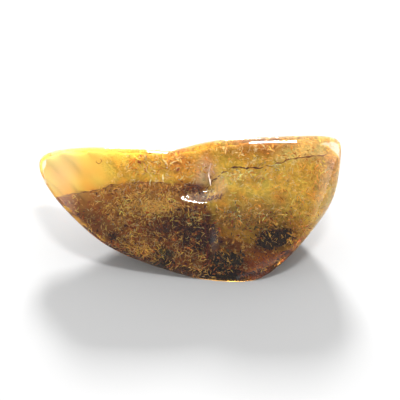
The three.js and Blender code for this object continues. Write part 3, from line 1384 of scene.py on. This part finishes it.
@dataclass
class Debris:
    """One piece of loose grains: clouds of one small form, joined in one mesh."""

    name: str
    clouds: tuple[Cloud, ...]
    finish: GrainFinish
    seed: int
    form: Form = Form.FLECK
    slot: str = "plant_crumbs"
    margin: float = 0.12
    cover: float = 0.04
    crooked: tuple[float, float, float] = (1.0, 1.0, 0.4)
    brightness: tuple[float, float] = (0.7, 1.4)
    patchiness: float = 0.25
    patches_per_mm: float = 0.3
    bend: float = 1.3
    bends_per_mm: float = 0.12

    def middles(
        self, cloud: Cloud, rng: np.random.Generator, shape: StoneShape, sight: Sight
    ) -> tuple[np.ndarray, np.ndarray]:
        """Draws where one cloud's grains lie, and drops those that are not well inside or not to be seen.

        Args:
            cloud: the cloud.
            rng: the piece's own random numbers.
            shape: the stone, which holds every grain.
            sight: the line of sight that the cloud's pixels are seen along.

        Returns:
            The middles of the grains that are kept, from the heart, and half their lengths.
        """
        pixels = cloud.patch.draw(rng, cloud.count, cloud.soft)
        depth = rng.uniform(*cloud.depth, cloud.count)
        centres, seen = sight.inside(pixels, depth, cloud.face)
        length = rng.uniform(*cloud.length, cloud.count) / 2
        seen &= shape.holds(centres, self.margin)
        if cloud.region:
            seen &= cloud.region.holds(pixels)
        if cloud.spares_dark:
            dark = np.max([tint_patch.amount(pixels) for tint_patch in DARK_STAINS], axis=0)
            seen &= rng.uniform(size=cloud.count) > dark
        return centres[seen], length[seen]

    def lie(self, cloud: Cloud, centres: np.ndarray, shape: StoneShape) -> np.ndarray:
        """How grains lie along the skin over them: by the cloud's flow, bent by swirls.

        Args:
            cloud: the cloud.
            centres: the grains' middles.
            shape: the stone.

        Returns:
            For each grain its own axes as the columns of a matrix: along, across, and out of the stone.
        """
        angle = np.radians(cloud.flow) + self.bend * swirls(centres, self.bends_per_mm, self.seed)
        out = shape.normal(centres)
        level_axis = np.array([1.0, 0, 0]) - out * out[:, :1]
        level_axis /= np.linalg.norm(level_axis, axis=1, keepdims=True)
        along = np.cos(angle)[:, None] * level_axis + np.sin(angle)[:, None] * np.cross(out, level_axis)
        return np.stack([along, np.cross(out, along), out], -1)

    def drawn(
        self, cloud: Cloud, rng: np.random.Generator, shape: StoneShape, sight: Sight
    ) -> Mesh:
        """Draws one cloud, and drops the grains that would come through the skin.

        Args:
            cloud: the cloud.
            rng: the piece's own random numbers.
            shape: the stone, which holds every grain.
            sight: the line of sight that the cloud's pixels are seen along.

        Returns:
            Points from the heart, triangles, and a colour for each point.
        """
        centres, length = self.middles(cloud, rng, shape, sight)
        count = len(centres)
        slim = rng.uniform(*cloud.slim, count)
        if self.form is Form.FLECK:
            sizes = np.stack([length, length * slim, length * slim * cloud.flat], -1)
        else:
            sizes = np.repeat(length[:, None], 3, axis=1)
        points, faces = self.form.mesh()
        strays = rng.normal(scale=self.form.unevenness, size=(count, len(points), 3))
        crooked = points + strays * np.array(self.crooked)
        turns = self.lie(cloud, centres, shape) @ turns_near(rng, count, cloud.loose)
        picked = rng.integers(len(cloud.colours), size=count)
        patches = 1 + self.patchiness * swirls(centres, self.patches_per_mm, self.seed + 1)
        bright = rng.uniform(*self.brightness, count) * patches
        tints = np.array(cloud.colours)[picked] * bright[:, None]
        reach = np.einsum("nij,nkj->nki", turns, crooked * sizes[:, None, :]) + centres[:, None, :]
        whole = shape.holds(reach.reshape(-1, 3), self.cover).reshape(count, -1).all(1)
        points, faces = repeated(crooked[whole], faces, turns[whole], sizes[whole], centres[whole])
        return points, faces, np.repeat(tints[whole].clip(0, 1), crooked.shape[1], axis=0)

    def build(self, shape: StoneShape, placing: Placing, sight: Sight) -> bpy.types.Object:
        """Draws each cloud in turn and joins them in one mesh.

        Args:
            shape: the stone.
            placing: where the heart lies.
            sight: the line of sight.

        Returns:
            The piece.
        """
        rng = np.random.default_rng(self.seed)
        points, faces, tints = joined([self.drawn(cloud, rng, shape, sight) for cloud in self.clouds])
        obj = mesh_object(self.name, placing.metres(points), faces, smooth=False)
        point_colours(obj, "tint", tints)
        obj.data.materials.append(self.finish.material())
        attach(obj, "root")
        return obj


@dataclass
class CrumbPile:
    """A clump of bark crumbs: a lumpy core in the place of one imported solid, with fibres on it.

    Its middle is measured from the heart, and its size is in half lengths.
    """

    node: str
    at: tuple[float, float, float]
    size: tuple[float, float, float]
    tilt: float
    core: tuple[float, float, float]
    colours: tuple[tuple[float, float, float], ...]
    fibres: int
    seed: int
    lean: float = 38.0
    lumps: float = 0.16
    large_per_mm: float = 0.25
    small_per_mm: float = 0.7
    small_share: float = 0.6
    length: tuple[float, float] = (0.35, 1.0)
    loose: float = 0.7
    roughness: float = 0.5
    mottle: Mottle = Mottle(2.5, 5.0, 0.5, 0.4, 1.6)
    steps: int = 60
    sides: int = 80

    def turn(self) -> np.ndarray:
        """The turn of the clump: about Y by the tilt, then about X by the lean of the front face.

        Returns:
            A matrix.
        """
        t, e = math.radians(self.tilt), math.radians(self.lean)
        about_y = np.array([[math.cos(t), 0, -math.sin(t)], [0, 1, 0], [math.sin(t), 0, math.cos(t)]])
        about_x = np.array([[1, 0, 0], [0, math.cos(e), math.sin(e)], [0, -math.sin(e), math.cos(e)]])
        return about_x @ about_y

    def lumpy(self, points: np.ndarray) -> np.ndarray:
        """Moves points of the clump's egg in and out by large lumps and small ones.

        Args:
            points: rows of three, from the clump's middle.

        Returns:
            The moved points.
        """
        large = swirls(points, self.large_per_mm, self.seed)
        small = swirls(points, self.small_per_mm, self.seed + 2.0)
        return points * (1 + self.lumps * (large + self.small_share * small))[:, None]

    def build(self, placing: Placing) -> bpy.types.Object:
        """Makes the core and lays the fibres on it, in one mesh.

        Args:
            placing: where the heart lies.

        Returns:
            The piece.
        """
        rng = np.random.default_rng(self.seed)
        turn = self.turn()
        core = self.lumpy(egg_points(self.size, self.steps, self.sides)) @ turn.T + np.array(self.at)
        out = rng.normal(size=(self.fibres, 3))
        out /= np.linalg.norm(out, axis=1, keepdims=True)
        centres = self.lumpy(out * np.array(self.size)) @ turn.T + np.array(self.at)
        form, form_faces = Form.STREAK.mesh()
        forms = np.repeat(form[None], self.fibres, axis=0)
        length = rng.uniform(*self.length, self.fibres)[:, None] / 2
        turns = turn @ turns_near(rng, self.fibres, self.loose)
        fibres, faces = repeated(forms, form_faces, turns, np.repeat(length, 3, axis=1), centres)
        picked = np.array(self.colours)[rng.integers(len(self.colours), size=self.fibres)]
        core_part = core, closed_grid_faces(self.steps, self.sides), np.tile(self.core, (len(core), 1))
        points, faces, tints = joined([core_part, (fibres, faces, np.repeat(picked, len(form), axis=0))])
        name = self.node.replace("crumbs", "crumb_pile")
        obj = mesh_object(name, placing.metres(points), faces)
        point_colours(obj, "tint", tints)
        obj.data.materials.append(GrainFinish(name, self.roughness, mottle=self.mottle).material())
        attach(obj, "root")
        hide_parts(self.node)
        return obj


@dataclass(frozen=True)
class Line:
    """A thin line in the resin: its corners in the photograph's pixels, and its sizes in millimetres."""

    corners: tuple[tuple[float, float], ...]
    half_width: float
    colour: tuple[float, float, float]
    depth: float = 0.3
    wander: float = 0.12
    wander_per_mm: float = 0.5
    unevenness: float = 0.5
    uneven_per_mm: float = 0.6
    most: float = 0.97
    stations: int = 90
    sides: int = 6

    def path(self, sight: Sight, seed: int) -> np.ndarray:
        """The line's middle: the corners joined, put at the depth, moved a little by swirls and kept inside.

        Args:
            sight: the line of sight.
            seed: tells this line's swirls from another's.

        Returns:
            A point for each station, from the heart.
        """
        corners = np.array(self.corners)
        along = np.linspace(0, len(corners) - 1, self.stations)
        pixels = np.stack([np.interp(along, np.arange(len(corners)), corners[:, i]) for i in (0, 1)], -1)
        points, _ = sight.inside(pixels, np.full(self.stations, self.depth), Face.ANY)
        wander = [swirls(points, self.wander_per_mm, seed + i) for i in range(3)]
        points = points + self.wander * np.stack(wander, -1)
        return points * np.minimum(self.most / sight.shape.level(points), 1)[:, None]

    def tube(self, sight: Sight, seed: int) -> Mesh:
        """The line as a closed tube that thins to both ends and is thick and thin by turns.

        Half its width is that of a half circle over the line's length, times one plus swirls.

        Args:
            sight: the line of sight.
            seed: tells this line's swirls from another's.

        Returns:
            Points, triangles, and a colour for each point.
        """
        points = self.path(sight, seed)
        t = np.linspace(0, 1, self.stations)
        uneven = 1 + self.unevenness * swirls(points, self.uneven_per_mm, seed + 5.0)
        width = self.half_width * np.sqrt(4 * t * (1 - t)) * uneven
        angle = np.arange(self.sides) / self.sides * 2 * np.pi
        right, up, forward = sight.axes()
        across = np.gradient(points, axis=0) @ np.array([right, up]).T
        across /= np.linalg.norm(across, axis=1, keepdims=True)
        sideways = -across[:, 1:] * right + across[:, :1] * up
        section = np.cos(angle)[None, :, None] * sideways[:, None] + np.sin(angle)[None, :, None] * forward
        tube = closed_grid_points(points[:, None] + np.abs(width)[:, None, None] * section)
        return tube, closed_grid_faces(self.stations, self.sides), np.tile(self.colour, (len(tube), 1))


@dataclass
class Threads:
    """Thin seam lines and cracks, a bubble's ring, and a painted highlight line in the groove, in one mesh.
    """

    lines: tuple[Line, ...] = (
        Line(((229, 168), (240, 167), (252, 168.5), (264, 167)), 0.12, linear(96, 46, 26)),
        Line(((264, 167), (276, 164), (288, 160), (302, 157), (318, 156), (330, 153)), 0.09,
             linear(140, 84, 46)),
        Line(((207, 214), (205, 228), (208, 244), (206, 258), (211, 268)), 0.12, linear(120, 44, 28)),
        Line(((184, 184), (190, 186), (197, 185), (203, 189)), 0.06, linear(84, 40, 26)),
        Line(((58, 197), (74, 194), (90, 191), (102, 189), (112, 185), (124, 183)), 0.05, linear(120, 70, 36),
             0.2),
        Line(((118, 187), (132, 183), (148, 182), (164, 183), (180, 185)), 0.05, linear(150, 92, 44)),
        Line(((100, 158), (102, 161), (99, 164), (96, 162), (97, 159), (100, 158)), 0.06,
             linear(176, 110, 44), 0.5, 0.0),
        Line(((203, 192), (208, 187), (214, 180), (221, 174), (231, 169)), 0.1, linear(122, 68, 34)),
        # A pale line painted as the highlight down the groove.
        Line(((210, 163), (209, 174), (211, 186)), 0.1, linear(255, 232, 214), 0.12, 0.06),
    )
    seed: int = 3

    def build(self, placing: Placing, sight: Sight) -> bpy.types.Object:
        """Draws each line's tube and joins them.

        Args:
            placing: where the heart lies.
            sight: the line of sight.

        Returns:
            The piece.
        """
        points, faces, tints = joined([line.tube(sight, self.seed + i) for i, line in enumerate(self.lines)])
        obj = mesh_object("seams_and_painted_highlight", placing.metres(points), faces)
        point_colours(obj, "tint", tints)
        obj.data.materials.append(GrainFinish("seams_and_painted_highlight", roughness=0.4).material())
        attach(obj, "root")
        return obj


@dataclass
class Studio:
    """The pale floor, the window-like light behind the stone, the lamp overhead, the fill, and the camera.

    The floor lies a hair under the stone's flat spot, so that light leaves the resin before it meets it. The
    fill is the room's light from all around. It grows from its first strength to its second towards the
    back, and the side fill is added to it towards both ends of the stone. Each grows over a range of the
    way's own Y, or of its X without a sign.
    """

    placing: Placing
    sight: Sight
    floor_half: float = 1500.0
    floor_drop: float = 0.05
    paper: float = 0.245
    paper_roughness: float = 0.9
    window_elevation: float = 26.0
    window_turn: float = 1.5
    window_distance: float = 600.0
    window_size: tuple[float, float] = (115.0, 70.0)
    window_power: float = 12.5
    fill: tuple[float, float] = (0.42, 3.2)
    fill_from: tuple[float, float] = (-0.2, 0.8)
    side_fill: tuple[float, float] = (0.0, 2.3)
    side_from: tuple[float, float] = (0.45, 0.95)
    lamp_way: tuple[float, float, float] = (0.14, 0.16, 0.97)
    lamp_size: tuple[float, float] = (140.0, 60.0)
    lamp_power: float = 2.9
    clip: tuple[float, float] = (0.005, 20.0)
    bounces: int = 24
    diffuse_bounces: int = 16
    glossy_bounces: int = 12

    def camera(self) -> None:
        """Puts the camera in front of the stone, looking down at the photograph's angle."""
        data = bpy.data.cameras.new("camera")
        data.lens = self.sight.lens
        data.sensor_width = self.sight.sensor
        data.clip_start, data.clip_end = self.clip
        camera = bpy.data.objects.new("camera", data)
        camera.location = self.placing.metres(self.sight.station())
        camera.rotation_euler = (math.radians(90 - self.sight.elevation), 0, 0)
        bpy.context.scene.collection.objects.link(camera)
        bpy.context.scene.camera = camera

    def floor(self) -> None:
        """A white sheet under the stone, wide enough to fill every view."""
        corners = np.array([[-1, -1, 0], [1, -1, 0], [1, 1, 0], [-1, 1, 0]]) * self.floor_half
        points = (corners - np.array([0, 0, self.floor_drop])) * MM
        floor = mesh_object("floor", points, np.array([[0, 1, 2], [0, 2, 3]]), smooth=False)
        paper = Look("paper").plain(Base_Color=(self.paper,) * 3, Roughness=self.paper_roughness)
        floor.data.materials.append(paper.mat)
        floor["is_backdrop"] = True

    def lamp(self, name: str, way: np.ndarray, size: tuple[float, float], power: float) -> None:
        """Hangs a soft lamp in a direction from the stone, turned towards it.

        Args:
            name: the lamp's name.
            way: the direction in which it hangs, of any length.
            size: its width and height in millimetres.
            power: watts.
        """
        data = bpy.data.lights.new(name, "AREA")
        data.shape = "RECTANGLE"
        data.size = size[0] * MM
        data.size_y = size[1] * MM
        data.energy = power
        lamp = bpy.data.objects.new(name, data)
        away = Vector(way).normalized()
        lamp.location = away * self.window_distance * MM
        lamp.rotation_mode = "QUATERNION"
        across = (Vector((1, 0, 0)) - away * away.x).normalized()
        lamp.rotation_quaternion = Matrix((across, away.cross(across), away)).transposed().to_quaternion()
        bpy.context.scene.collection.objects.link(lamp)

    def lights(self) -> None:
        """One wide soft light behind and above, and a small one overhead."""
        a, e = math.radians(self.window_turn), math.radians(self.window_elevation)
        window_way = (-math.sin(a) * math.cos(e), math.cos(a) * math.cos(e), math.sin(e))
        self.lamp("window", window_way, self.window_size, self.window_power)
        self.lamp("overhead", self.lamp_way, self.lamp_size, self.lamp_power)

    def room(self) -> None:
        """The fill: the world's light, white, with a strength that follows the way it comes from."""
        world = bpy.data.worlds.new("room")
        world.use_nodes = True
        tree = world.node_tree
        background = tree.nodes["Background"]
        background.inputs["Color"].default_value = (1, 1, 1, 1)
        way = tree.nodes.new("ShaderNodeSeparateXYZ")
        tree.links.new(tree.nodes.new("ShaderNodeTexCoord").outputs["Generated"], way.inputs["Vector"])
        aside, total = tree.nodes.new("ShaderNodeMath"), tree.nodes.new("ShaderNodeMath")
        aside.operation, total.operation = "ABSOLUTE", "ADD"
        tree.links.new(way.outputs["X"], aside.inputs[0])
        fills = (
            (way.outputs["Y"], self.fill_from, self.fill),
            (aside.outputs[0], self.side_from, self.side_fill),
        )
        for share, (value, (low, high), (dim, bright)) in zip(total.inputs, fills):
            strength = tree.nodes.new("ShaderNodeMapRange")
            strength.interpolation_type = "SMOOTHSTEP"
            strength.inputs["From Min"].default_value = low
            strength.inputs["From Max"].default_value = high
            strength.inputs["To Min"].default_value = dim
            strength.inputs["To Max"].default_value = bright
            tree.links.new(value, strength.inputs["Value"])
            tree.links.new(strength.outputs["Result"], share)
        tree.links.new(total.outputs[0], background.inputs["Strength"])
        bpy.context.scene.world = world

    def build(self) -> None:
        """Makes the camera, floor, lights and room, and keeps the picture's tones plain."""
        self.camera()
        self.floor()
        self.lights()
        self.room()
        bpy.context.scene.view_settings.view_transform = "Standard"
        paths = bpy.context.scene.cycles
        paths.max_bounces = self.bounces
        paths.transmission_bounces = self.bounces
        paths.diffuse_bounces = self.diffuse_bounces
        paths.glossy_bounces = self.glossy_bounces


SOOT = linear(48, 33, 23)
BARK = linear(88, 52, 31)
UMBER = linear(136, 80, 42)
RUST = linear(176, 98, 42)
TAN = linear(234, 182, 88)
SAND = linear(214, 168, 98)
CREAM = linear(255, 230, 160)
HONEY = linear(254, 194, 82)
STRAW = linear(255, 209, 112)
OLIVE = linear(200, 150, 66)
MOSS = linear(90, 86, 50)
PLUM = linear(92, 44, 38)
SHEEN_PINK = linear(255, 214, 190)
WHITE = linear(255, 252, 244)
AMBER = linear(214, 150, 60)


def crumb_piles() -> list[CrumbPile]:
    """The three dark clumps of bark and fibres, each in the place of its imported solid.

    Returns:
        The clumps, yet to be built.
    """
    dark = (SOOT, BARK, UMBER, SOOT, BARK, TAN)
    return [
        CrumbPile("crumbs_centre", (1.2, -3.4, -2.3), (2.5, 1.1, 1.8), 20, linear(76, 34, 28),
                  (BARK, PLUM, PLUM, UMBER, RUST), 260, 3),
        CrumbPile("crumbs_low", (5.3, -6.0, -4.5), (2.2, 0.6, 1.0), -8, linear(40, 32, 22),
                  (SOOT, MOSS, MOSS, SOOT, OLIVE), 220, 4),
        CrumbPile("crumbs_right", (12.0, -4.0, -2.0), (2.4, 0.9, 1.3), 14, linear(56, 38, 30), dark, 260, 5),
    ]


def brown_layer() -> list[Debris]:
    """The brown dust under the left of the front face: dark grains, and tan slivers like grains of rice.

    Returns:
        The pieces, yet to be built.
    """
    left = Patch((125, 215), (82, 40), 16)
    lower = Patch((160, 248), (75, 22), 16)
    middle = Patch((190, 228), (26, 30))
    ground = (BARK, UMBER, RUST, RUST)
    light = (TAN, TAN, SAND, SAND, HONEY, RUST)
    wide = (0.3, 0.7)
    return [
        Debris(
            "brown_grains",
            (
                Cloud(left, 420, (0.15, 0.6), (0.3, 0.9), ground, Face.FRONT, soft=False, slim=wide, flow=10,
                      loose=0.5, region=BROWN_REGION),
                Cloud(lower, 300, (0.15, 0.6), (0.3, 0.9), ground, Face.FRONT, soft=False, slim=wide, flow=20,
                      loose=0.5),
                Cloud(middle, 200, (0.15, 0.8), (0.3, 0.9), (BARK, PLUM, RUST, PLUM), Face.FRONT, slim=wide,
                      loose=0.7),
                Cloud(Patch((172, 226), (22, 12)), 260, (0.15, 0.7), (0.3, 0.8), (PLUM, BARK, RUST),
                      Face.FRONT),
                Cloud(Patch((84, 217), (24, 7), 42), 110, (0.15, 0.7), (0.3, 0.8), (BARK, RUST, UMBER),
                      Face.FRONT, region=BROWN_REGION),
                Cloud(Patch((262, 262), (26, 9), -12), 160, (0.15, 0.7), (0.3, 0.8), (RUST, RUST, UMBER),
                      Face.FRONT),
                Cloud(Patch((190, 190), (18, 5), 8), 200, (0.15, 0.7), (0.3, 0.8), (RUST, BARK, UMBER)),
                Cloud(Patch((146, 190), (60, 8), 1), 260, (0.15, 0.5), (0.2, 0.6), (RUST, BARK, UMBER),
                      soft=False, region=BROWN_REGION),
            ),
            GrainFinish("brown_grains", roughness=0.4), seed=5,
        ),
        Debris(
            "dark_crumbs",
            (
                Cloud(Patch((113, 236), (7, 5), 20), 60, (0.15, 0.6), (0.3, 0.8), (SOOT, BARK), Face.FRONT),
                Cloud(Patch((163, 255), (10, 7)), 120, (0.15, 0.7), (0.3, 0.8), (SOOT, BARK, MOSS),
                      Face.FRONT),
                Cloud(Patch((196, 236), (11, 15)), 160, (0.15, 0.9), (0.3, 0.9), (SOOT, PLUM, BARK),
                      Face.FRONT),
                Cloud(Patch((226, 260), (18, 9), 5), 220, (0.15, 0.9), (0.3, 0.9), (SOOT, SOOT, MOSS),
                      Face.FRONT),
                Cloud(Patch((273, 239), (19, 11), -15), 220, (0.15, 0.9), (0.3, 0.9), (SOOT, BARK, SOOT),
                      Face.FRONT),
                Cloud(Patch((213, 198), (12, 2.6), -14), 60, (0.12, 0.4), (0.22, 0.42), (BARK, UMBER, RUST),
                      slim=(0.7, 1.0)),
            ),
            GrainFinish("dark_crumbs", roughness=0.6), seed=7,
        ),
        Debris(
            "tan_slivers",
            (
                Cloud(left, 1500, (0.1, 0.5), (0.45, 0.95), light, Face.FRONT, soft=False, flow=10,
                      loose=0.35, region=BROWN_REGION, spares_dark=True),
                Cloud(lower, 800, (0.1, 0.5), (0.45, 0.9), light, Face.FRONT, soft=False, flow=25, loose=0.35,
                      spares_dark=True),
                Cloud(middle, 200, (0.1, 0.5), (0.45, 0.9), light, Face.FRONT, loose=0.5, spares_dark=True),
                Cloud(Patch((128, 206), (26, 14)), 420, (0.1, 0.45), (0.45, 0.95), (HONEY, OLIVE, TAN, STRAW),
                      Face.FRONT, flow=15, loose=0.35),
                Cloud(Patch((156, 208), (20, 12)), 320, (0.1, 0.45), (0.45, 0.95), (HONEY, SAND, TAN, STRAW),
                      Face.FRONT, loose=0.35),
                Cloud(Patch((145, 249), (20, 9), 15), 160, (0.1, 0.45), (0.45, 0.9), (HONEY, TAN), Face.FRONT,
                      flow=20, loose=0.35),
                Cloud(Patch((226, 260), (18, 8)), 26, (0.1, 0.4), (0.5, 1.0), (SAND, OLIVE), Face.FRONT,
                      loose=0.8),
                Cloud(Patch((273, 239), (19, 10)), 40, (0.1, 0.4), (0.5, 1.0), (TAN, SAND, OLIVE), Face.FRONT,
                      loose=0.8),
                Cloud(Patch((196, 220), (9, 12)), 40, (0.1, 0.4), (0.5, 1.0), (HONEY, STRAW, OLIVE),
                      Face.FRONT, flow=60, loose=0.8),
                Cloud(Patch((158, 207), (26, 12)), 260, (0.1, 0.4), (0.6, 1.1), (STRAW, TAN, HONEY),
                      Face.FRONT, flow=-20, loose=0.3),
                Cloud(Patch((146, 191), (60, 8), 1), 620, (0.1, 0.4), (0.4, 0.9),
                      (TAN, HONEY, AMBER, RUST, SAND), soft=False, flow=5, loose=0.4, region=BROWN_REGION,
                      spares_dark=True),
            ),
            GrainFinish("tan_slivers", roughness=0.3), seed=11, form=Form.STREAK,
        ),
    ]


def golden_mass() -> list[Debris]:
    """The flecks and curved streaks of the right lobe and of the upper face, the pale slivers painted as
    glints, pale pink flecks painted as the sheen of the groove, and the bubbles.

    Returns:
        The pieces, yet to be built.
    """
    lobe = Patch((275, 192), (64, 36), -8)
    low = Patch((262, 240), (62, 34), -20)
    top = Patch((265, 149), (76, 12), -3)
    saddle = Patch((166, 168), (40, 17), 3)
    gold = (HONEY, STRAW, TAN, STRAW, AMBER)
    slim = (0.2, 0.5)
    return [
        Debris(
            "golden_flecks_and_sheen",
            (
                Cloud(lobe, 160, (0.2, 0.8), (0.3, 0.9), gold, soft=False, slim=slim, loose=0.8),
                Cloud(low, 450, (0.2, 0.8), (0.3, 0.9), (AMBER, TAN, RUST, TAN), Face.FRONT, soft=False,
                      slim=slim, loose=0.8),
                Cloud(saddle, 60, (0.15, 0.6), (0.4, 1.2), (STRAW, HONEY, RUST, AMBER), Face.UPPER,
                      soft=False, slim=(0.3, 0.6), loose=0.6),
                Cloud(top, 120, (0.2, 0.9), (0.3, 0.9), (HONEY, TAN, AMBER, AMBER), Face.UPPER, soft=False,
                      slim=slim, flow=80, loose=0.4),
                Cloud(Patch((300, 236), (24, 10), -48), 120, (0.2, 1.0), (0.3, 0.9), (HONEY, TAN, AMBER),
                      slim=slim),
                Cloud(Patch((322, 168), (16, 26)), 120, (0.2, 1.0), (0.3, 0.9), (HONEY, TAN, AMBER),
                      slim=slim),
                Cloud(Patch((238, 177), (18, 6)), 90, (0.15, 0.6), (0.3, 0.9), (STRAW, CREAM), slim=slim),
                Cloud(Patch((243, 218), (38, 13), -4), 350, (0.3, 1.0), (0.3, 0.9),
                      (OLIVE, MOSS, OLIVE, RUST), slim=slim),
                # Pale pink flecks painted as the milky sheen of the worn, frosted groove.
                Cloud(Patch((206, 169), (10, 12)), 60, (0.15, 0.7), (0.3, 0.9), (SHEEN_PINK, CREAM, SHEEN_PINK),
                      slim=slim),
            ),
            GrainFinish("golden_flecks_and_sheen", roughness=0.35), seed=31, slot="amber",
        ),
        Debris(
            "golden_streaks",
            (
                Cloud(Patch((304, 186), (26, 24)), 170, (0.12, 0.5), (0.7, 1.7), (STRAW, HONEY, HONEY),
                      soft=False, loose=0.4, flow=50),
                Cloud(lobe, 130, (0.12, 0.5), (0.5, 1.3), (STRAW, AMBER, HONEY), soft=False, loose=0.5,
                      flow=10),
                Cloud(Patch((262, 173), (46, 9), -6), 160, (0.12, 0.5), (0.6, 1.5), (STRAW, CREAM), loose=0.5,
                      flow=30),
                Cloud(saddle, 260, (0.12, 0.5), (0.6, 1.7), (STRAW, CREAM, HONEY, AMBER), Face.UPPER,
                      soft=False, loose=0.4, flow=60),
                Cloud(top, 60, (0.2, 0.9), (0.6, 1.4), (STRAW, CREAM, HONEY, RUST), Face.UPPER, soft=False,
                      loose=0.5, flow=80),
            ),
            GrainFinish("golden_streaks", roughness=0.25), seed=37, form=Form.STREAK, slot="amber",
        ),
        # Pale cream slivers standing in for glints: painted highlights.
        Debris(
            "glints",
            (
                Cloud(Patch((250, 213), (40, 7), -3), 190, (0.08, 0.25), (0.3, 0.8), (STRAW, CREAM, STRAW),
                      loose=0.6),
                Cloud(Patch((268, 161), (36, 4), -6), 90, (0.1, 0.5), (0.3, 0.8), (CREAM, STRAW), loose=0.6),
                Cloud(Patch((193, 218), (9, 14)), 80, (0.08, 0.25), (0.3, 0.9), (CREAM, STRAW), loose=0.6),
                Cloud(Patch((130, 215), (70, 26), 14), 320, (0.08, 0.25), (0.25, 0.7), (CREAM, STRAW),
                      Face.FRONT, soft=False, loose=0.6),
                Cloud(saddle, 90, (0.15, 0.8), (0.5, 1.4), (CREAM, STRAW), Face.UPPER, soft=False, loose=0.6),
            ),
            GrainFinish("glints", roughness=0.25, metallic=0.1), seed=43, form=Form.STREAK, slot="amber",
        ),
        Debris(
            "bubbles",
            (
                Cloud(Patch((113, 224), (0.1, 0.1)), 1, (0.25, 0.3), (0.4, 0.42), (WHITE,)),
                Cloud(Patch((197, 238), (1.2, 1.2)), 2, (0.2, 0.3), (0.3, 0.4), (WHITE,)),
                Cloud(Patch((250, 212), (36, 5), -3), 12, (0.15, 0.4), (0.14, 0.3), (WHITE,)),
                Cloud(Patch((262, 173), (40, 10), -4), 12, (0.15, 0.4), (0.14, 0.3), (WHITE,)),
                Cloud(Patch((150, 215), (60, 30), 14), 14, (0.15, 0.4), (0.12, 0.26), (WHITE,)),
                Cloud(saddle, 8, (0.15, 0.4), (0.14, 0.3), (WHITE,)),
            ),
            GrainFinish("bubbles", roughness=0.08, metallic=1.0), seed=47, form=Form.BEAD, slot="amber",
        ),
    ]


def main() -> None:
    """Loads the frame, places the heart, makes each piece in order, and reports each."""
    logging.basicConfig(level=logging.INFO, format="%(message)s")
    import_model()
    shape = StoneShape()
    placing = Placing.from_frame(shape)
    sight = Sight(shape)
    LOG.info("heart at %s mm", placing.heart.round(2))
    Studio(placing, sight).build()
    pieces = [AmberBody(shape, placing).build(), HazyHeart(shape, placing, sight).build()]
    pieces += [pile.build(placing) for pile in crumb_piles()]
    pieces.append(Threads().build(placing, sight))
    pieces += [debris.build(shape, placing, sight) for debris in [*brown_layer(), *golden_mass()]]
    for piece in pieces:
        LOG.info("%s: %d faces", piece.name, len(piece.data.polygons))


if __name__ == "__main__":
    main()
